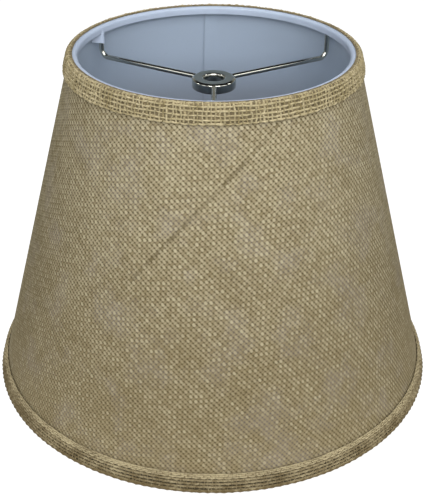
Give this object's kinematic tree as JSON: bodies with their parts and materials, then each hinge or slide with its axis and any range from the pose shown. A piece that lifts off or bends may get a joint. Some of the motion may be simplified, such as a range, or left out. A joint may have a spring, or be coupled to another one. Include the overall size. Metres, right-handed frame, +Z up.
{
  "type": "tapered lamp shade",
  "caption": "Tapered round hardback lamp shade in natural burlap with folded trims, a white liner and a recessed washer spider fitter.",
  "frame": {"origin": "centre of the bottom rim, on the surface that the shade stands on", "axes": "+Z up along the shade's axis towards the small end; one spider arm points along -Y, the other two 120 degrees either side of it, on the +X and -X sides"},
  "size_m": [0.296, 0.296, 0.2213],
  "materials": {
    "burlap": "natural jute burlap, plain weave laid on the bias, matt and slightly hairy",
    "trim_burlap": "open natural jute burlap cut straight, matt",
    "styrene": "white translucent styrene sheet, satin",
    "white_tape": "white glued tape, smooth and matt",
    "nickel": "polished nickel plate",
    "ring_steel": "zinc plated steel wire"
  },
  "bodies": {
    "root": {"hub_washer": "nickel", "spider_arm_front": "nickel", "spider_arm_right": "nickel", "spider_arm_left": "nickel", "top_ring": "ring_steel", "bottom_ring": "ring_steel", "styrene_liner": "styrene", "burlap_cover": "burlap", "top_outer_trim": "trim_burlap", "bottom_outer_trim": "trim_burlap", "top_inner_tape": "white_tape", "bottom_inner_tape": "white_tape", "weld_patch_left": "white_tape"}
  },
  "joints": []
}
